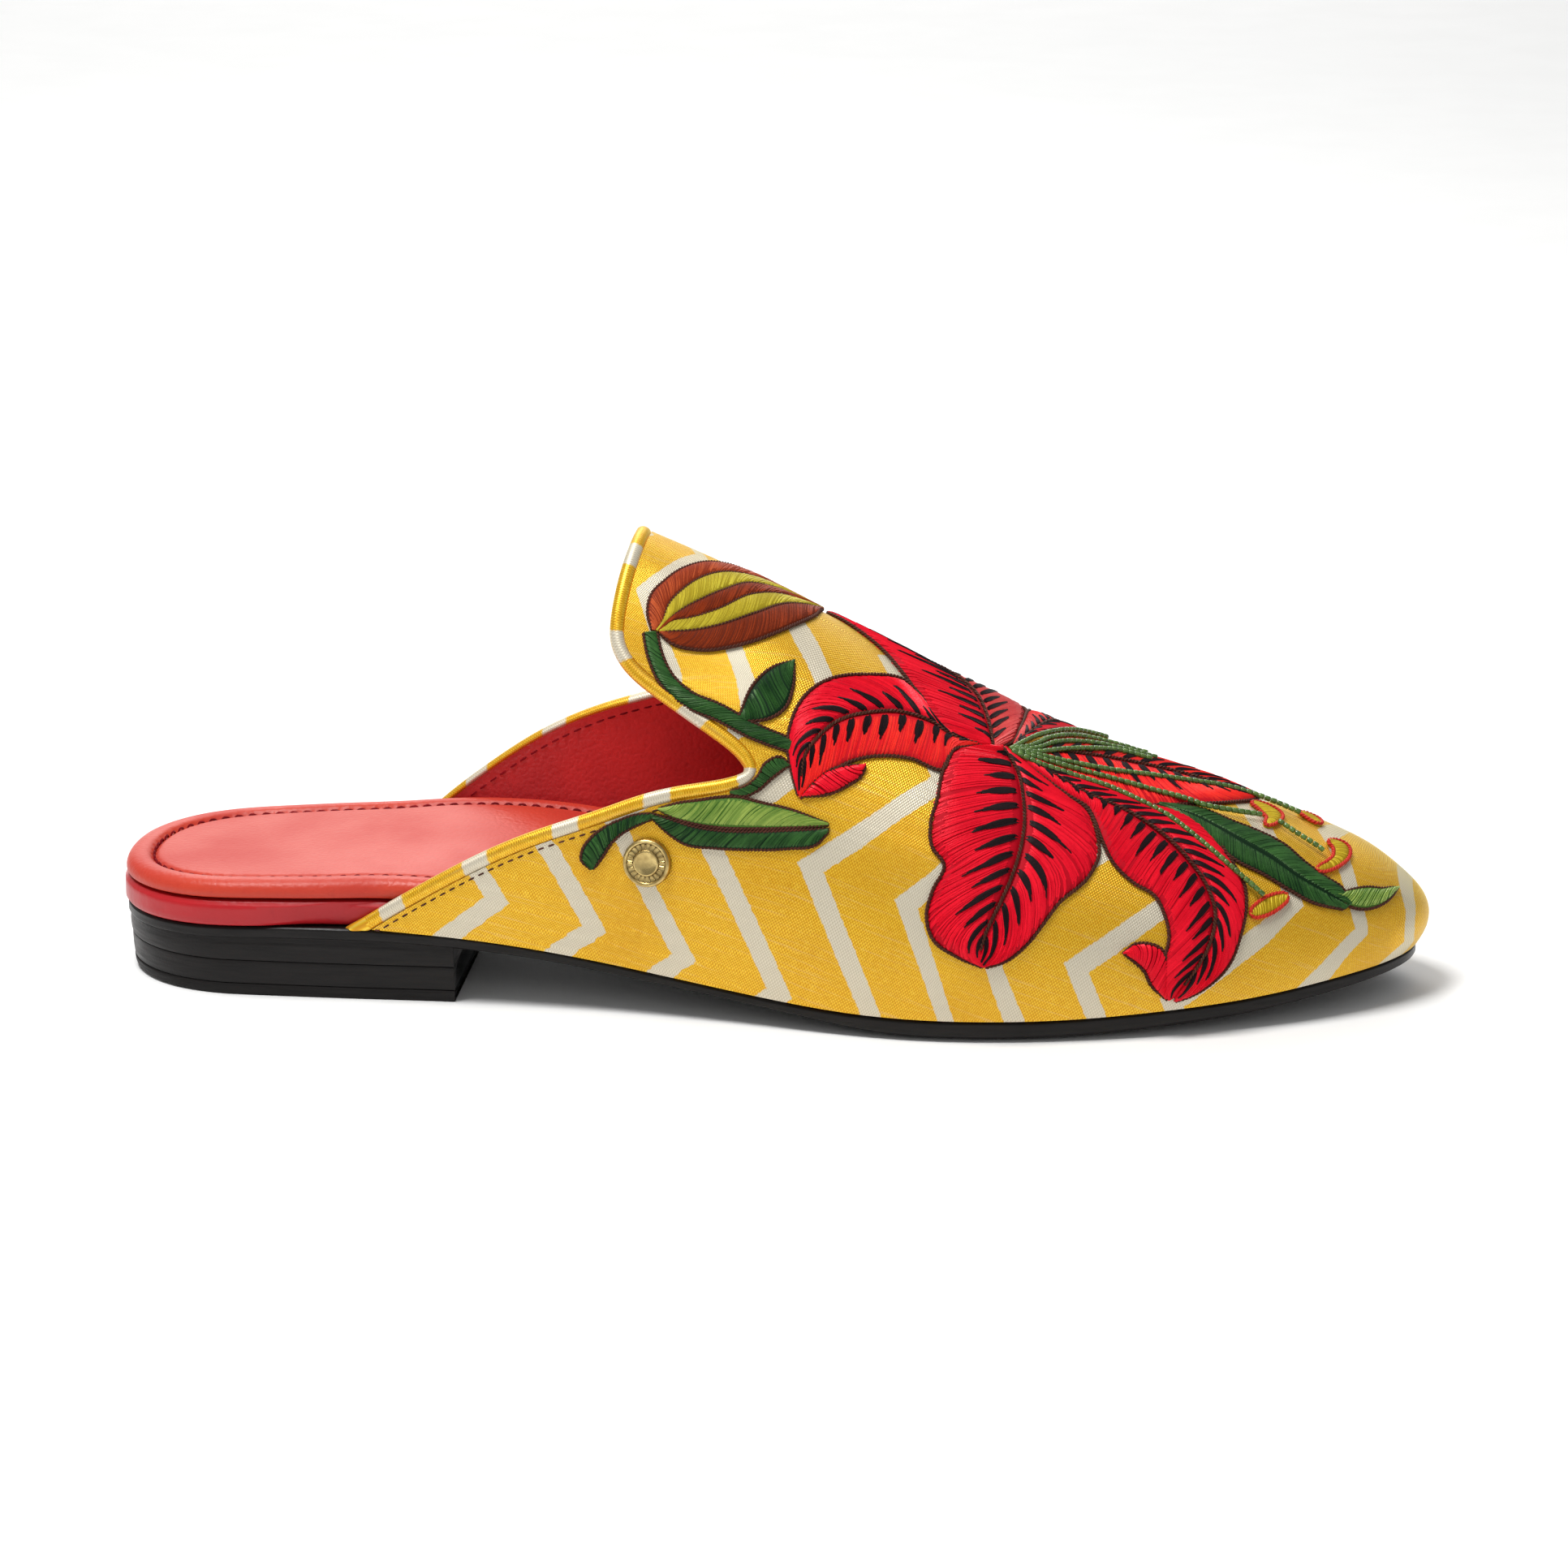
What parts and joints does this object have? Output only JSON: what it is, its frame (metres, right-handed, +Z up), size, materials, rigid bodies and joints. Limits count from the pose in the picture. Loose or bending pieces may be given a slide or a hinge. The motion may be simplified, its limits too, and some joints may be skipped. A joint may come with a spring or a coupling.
{
  "type": "loafer mule",
  "caption": "Right flat loafer mule with a bound tab and quarters, almond toe, padded insole, low stacked heel and a snap cap on its outer side.",
  "frame": {"origin": "centre of the bounding box, at floor level", "axes": "+X towards the toe, +Y towards the medial (inner) side, +Z up"},
  "size_m": [0.26, 0.0854, 0.0899],
  "materials": {
    "sole_black": "black sole leather with an inked and polished edge",
    "heel_black": "stacked leather lifts, inked black",
    "top_piece_rubber": "matt black rubber",
    "rand_leather": "glossy red leather cover",
    "sock_leather": "soft coral red leather over padding",
    "satin": "yellow satin with ivory chevron stripes and satin stitch embroidery",
    "binding_satin": "yellow and ivory satin rolled over the edge",
    "stud_brass": "worn pale brass"
  },
  "bodies": {
    "root": {"outsole": "sole_black", "heel_lift_upper": "heel_black", "heel_lift_lower": "heel_black", "heel_top_piece": "top_piece_rubber", "insole_board": "rand_leather", "insole_sock": "sock_leather", "upper": "satin", "collar_binding": "binding_satin", "side_stud": "stud_brass"}
  },
  "joints": []
}
